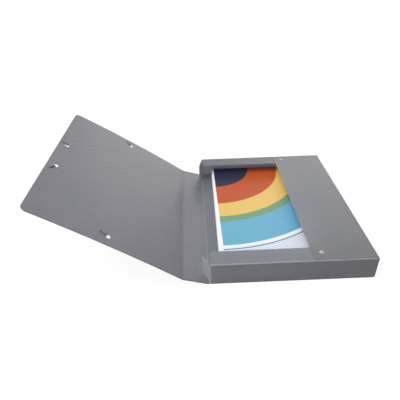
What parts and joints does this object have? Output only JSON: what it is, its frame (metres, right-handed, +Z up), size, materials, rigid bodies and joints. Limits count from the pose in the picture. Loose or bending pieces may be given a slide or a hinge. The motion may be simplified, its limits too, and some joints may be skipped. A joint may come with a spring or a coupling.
{
  "type": "elastic band box file",
  "caption": "Shallow folded plastic box file for loose sheets, with inner flaps, a flexing spine, a wrap-over cover with corner elastics, and papers inside.",
  "frame": {"origin": "middle of the base's underside, where the box rests", "axes": "+X from the spine towards the fore-edge wall, +Y from the foot of the papers towards their head, +Z up"},
  "size_m": [0.4763, 0.32, 0.1443],
  "materials": {
    "sheet": "finely embossed satin, grey",
    "rivet": "smooth, white",
    "elastic": "woven cord, dark grey",
    "tag": "smooth, dark grey",
    "paper": "matt, white",
    "card": "printed on a white ground, satin"
  },
  "bodies": {
    "tray": {"base_panel": "sheet", "foot_wall": "sheet", "head_wall": "sheet", "fore_edge_wall": "sheet", "foot_base_fold": "sheet", "head_base_fold": "sheet", "fore_edge_base_fold": "sheet", "foot_flap_fold": "sheet", "head_flap_fold": "sheet", "fore_edge_flap_fold": "sheet", "foot_flap": "sheet", "head_flap": "sheet", "fore_edge_flap": "sheet", "spine_fold": "sheet", "foot_tab_fold": "sheet", "head_tab_fold": "sheet", "foot_rivet_button": "rivet", "foot_rivet_cap": "rivet", "head_rivet_button": "rivet", "head_rivet_cap": "rivet", "paper_stack": "paper", "printed_card": "card"},
    "spine": {"spine_panel": "sheet", "cover_fold": "sheet"},
    "cover": {"front_cover": "sheet", "foot_corner_elastic": "elastic", "head_corner_elastic": "elastic", "foot_side_elastic_tag": "tag", "foot_fore_elastic_tag": "tag", "head_side_elastic_tag": "tag", "head_fore_elastic_tag": "tag"},
    "foot_tab": {"foot_corner_tab": "sheet"},
    "head_tab": {"head_corner_tab": "sheet"}
  },
  "joints": [
    {"name": "spine_hinge", "type": "hinge", "parent": "tray", "child": "spine", "pos_m": [-0.12, 0, 0.0004], "axis": [0, 1, 0], "range_deg": [-15.9, 74.1], "deforming": ["spine_fold"]},
    {"name": "cover_hinge", "type": "hinge", "parent": "spine", "child": "cover", "pos_m": [-0.15847, 0, 0.01136], "axis": [0, 1, 0], "range_deg": [-17.4, 71.2], "deforming": ["cover_fold"]},
    {"name": "foot_tab_hinge", "type": "hinge", "parent": "tray", "child": "foot_tab", "pos_m": [-0.1189, -0.1596, 0], "axis": [0, 0, 1], "range_deg": [-32.05, 6.9], "deforming": ["foot_tab_fold"]},
    {"name": "head_tab_hinge", "type": "hinge", "parent": "tray", "child": "head_tab", "pos_m": [-0.1189, 0.1596, 0], "axis": [0, 0, -1], "range_deg": [-20.05, 4.35], "deforming": ["head_tab_fold"]}
  ],
  "couplings": [
    {"joint": "foot_tab_hinge", "follows": "spine_hinge", "ratio": -0.43185},
    {"joint": "head_tab_hinge", "follows": "spine_hinge", "ratio": -0.26991}
  ]
}
